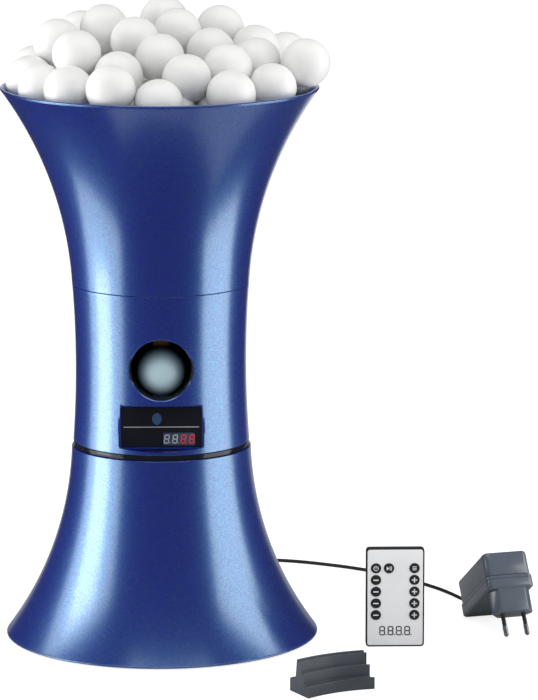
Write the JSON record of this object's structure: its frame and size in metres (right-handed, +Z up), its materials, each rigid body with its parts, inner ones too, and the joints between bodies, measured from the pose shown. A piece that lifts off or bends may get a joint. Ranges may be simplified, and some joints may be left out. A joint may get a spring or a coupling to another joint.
{
  "type": "table tennis robot",
  "caption": "Table tennis ball launcher with a flared base, a turning head, a flared ball bowl, a remote control, a mains adapter on a coiled cord and a stepped tilt stand.",
  "frame": {"origin": "on the floor, under the centre of the round base", "axes": "+Z up along the tower, -Y the way the robot shoots, +X to the right seen from its front"},
  "size_m": [0.4425, 0.4698, 0.5299],
  "materials": {
    "pearl_blue": "pearl blue with a soft gloss",
    "gloss_black": "glossy black",
    "black_plastic": "satin black",
    "grey_plastic": "satin grey",
    "white_plastic": "satin pale grey",
    "black_rubber": "matt black",
    "brown_rubber": "matt brown",
    "blue_rubber": "matt blue",
    "steel": "nickel plated",
    "brass": "plain brass",
    "circuit_board": "green lacquer",
    "display": "smoked clear",
    "ball": "smooth white"
  },
  "bodies": {
    "ground_set": {"base_skirt": "pearl_blue", "base_cover": "grey_plastic", "foot_1": "black_rubber", "foot_2": "black_rubber", "foot_3": "black_rubber", "foot_4": "black_rubber", "foot_centre": "black_rubber", "turntable": "gloss_black", "sun_gear": "white_plastic", "dc_inlet": "black_plastic", "dc_plug": "black_rubber", "cord_plug_run": "black_rubber", "cord_coil": "black_rubber", "coil_tie": "black_plastic", "cord_adapter_run": "black_rubber", "adapter_front_shell": "black_plastic", "adapter_back_shell": "black_plastic", "adapter_pin_left": "steel", "adapter_pin_right": "steel", "adapter_strain_relief": "black_rubber", "remote_case": "black_plastic", "remote_face": "white_plastic", "remote_board": "circuit_board", "tilt_stand": "black_plastic"},
    "head": {"main_housing": "pearl_blue", "head_floor": "black_plastic", "launch_frame": "black_plastic", "control_panel": "gloss_black", "digit_display": "display", "ir_window": "display", "control_board": "circuit_board", "upper_wheel_motor": "steel", "lower_wheel_motor": "steel", "oscillation_motor": "steel", "feed_motor": "steel", "feed_deck": "black_plastic", "feed_tube": "black_plastic", "launcher_ball": "ball"},
    "upper_wheel": {"upper_wheel_hub": "grey_plastic", "upper_wheel_tyre": "brown_rubber"},
    "lower_wheel": {"lower_wheel_hub": "grey_plastic", "lower_wheel_tyre": "blue_rubber"},
    "rotor": {"feed_rotor": "grey_plastic"},
    "pinion": {"oscillation_pinion": "brass"},
    "bowl": {"ball_bowl": "pearl_blue", "ball_heap": "ball"},
    "tray": {"battery_tray": "black_plastic", "coin_cell": "steel"},
    "key_power": {"button_power": "black_rubber"},
    "key_play": {"button_play": "black_rubber"},
    "key_mode": {"button_mode": "black_rubber"},
    "key_frequency_minus": {"button_frequency_minus": "black_rubber"},
    "key_frequency_plus": {"button_frequency_plus": "black_rubber"},
    "key_oscillation_minus": {"button_oscillation_minus": "black_rubber"},
    "key_oscillation_plus": {"button_oscillation_plus": "black_rubber"},
    "key_topspin_minus": {"button_topspin_minus": "black_rubber"},
    "key_topspin_plus": {"button_topspin_plus": "black_rubber"},
    "key_backspin_minus": {"button_backspin_minus": "black_rubber"},
    "key_backspin_plus": {"button_backspin_plus": "black_rubber"}
  },
  "joints": [
    {"name": "oscillation", "type": "hinge", "parent": "ground_set", "child": "head", "pos_m": [0, 0, 0.1653], "axis": [0, 0, 1], "range_deg": [-25, 25]},
    {"name": "upper_wheel_spin", "type": "hinge", "parent": "head", "child": "upper_wheel", "pos_m": [0, -0.035, 0.2657], "axis": [1, 0, 0], "continuous": true},
    {"name": "lower_wheel_spin", "type": "hinge", "parent": "head", "child": "lower_wheel", "pos_m": [0, -0.035, 0.1957], "axis": [1, 0, 0], "continuous": true},
    {"name": "rotor_spin", "type": "hinge", "parent": "head", "child": "rotor", "pos_m": [0, 0, 0.2885], "axis": [0, 0, 1], "continuous": true},
    {"name": "pinion_spin", "type": "hinge", "parent": "head", "child": "pinion", "pos_m": [0, 0.03175, 0.1716], "axis": [0, 0, 1], "range_deg": [-80, 80]},
    {"name": "bowl_lift", "type": "slide", "parent": "head", "child": "bowl", "axis": [0, 0, 1], "range_m": [0, 0.1]},
    {"name": "battery_tray_slide", "type": "slide", "parent": "ground_set", "child": "tray", "axis": [1, 0, 0], "range_m": [0, 0.025]},
    {"name": "press_power", "type": "slide", "parent": "ground_set", "child": "key_power", "axis": [0, 1, 0], "range_m": [0, 0.0004], "stiffness_N_per_m": 800, "springref_m": -0.0005},
    {"name": "press_play", "type": "slide", "parent": "ground_set", "child": "key_play", "axis": [0, 1, 0], "range_m": [0, 0.0004], "stiffness_N_per_m": 800, "springref_m": -0.0005},
    {"name": "press_mode", "type": "slide", "parent": "ground_set", "child": "key_mode", "axis": [0, 1, 0], "range_m": [0, 0.0004], "stiffness_N_per_m": 800, "springref_m": -0.0005},
    {"name": "press_frequency_minus", "type": "slide", "parent": "ground_set", "child": "key_frequency_minus", "axis": [0, 1, 0], "range_m": [0, 0.0004], "stiffness_N_per_m": 800, "springref_m": -0.0005},
    {"name": "press_frequency_plus", "type": "slide", "parent": "ground_set", "child": "key_frequency_plus", "axis": [0, 1, 0], "range_m": [0, 0.0004], "stiffness_N_per_m": 800, "springref_m": -0.0005},
    {"name": "press_oscillation_minus", "type": "slide", "parent": "ground_set", "child": "key_oscillation_minus", "axis": [0, 1, 0], "range_m": [0, 0.0004], "stiffness_N_per_m": 800, "springref_m": -0.0005},
    {"name": "press_oscillation_plus", "type": "slide", "parent": "ground_set", "child": "key_oscillation_plus", "axis": [0, 1, 0], "range_m": [0, 0.0004], "stiffness_N_per_m": 800, "springref_m": -0.0005},
    {"name": "press_topspin_minus", "type": "slide", "parent": "ground_set", "child": "key_topspin_minus", "axis": [0, 1, 0], "range_m": [0, 0.0004], "stiffness_N_per_m": 800, "springref_m": -0.0005},
    {"name": "press_topspin_plus", "type": "slide", "parent": "ground_set", "child": "key_topspin_plus", "axis": [0, 1, 0], "range_m": [0, 0.0004], "stiffness_N_per_m": 800, "springref_m": -0.0005},
    {"name": "press_backspin_minus", "type": "slide", "parent": "ground_set", "child": "key_backspin_minus", "axis": [0, 1, 0], "range_m": [0, 0.0004], "stiffness_N_per_m": 800, "springref_m": -0.0005},
    {"name": "press_backspin_plus", "type": "slide", "parent": "ground_set", "child": "key_backspin_plus", "axis": [0, 1, 0], "range_m": [0, 0.0004], "stiffness_N_per_m": 800, "springref_m": -0.0005}
  ],
  "couplings": [
    {"joint": "pinion_spin", "follows": "oscillation", "ratio": 3.2}
  ]
}
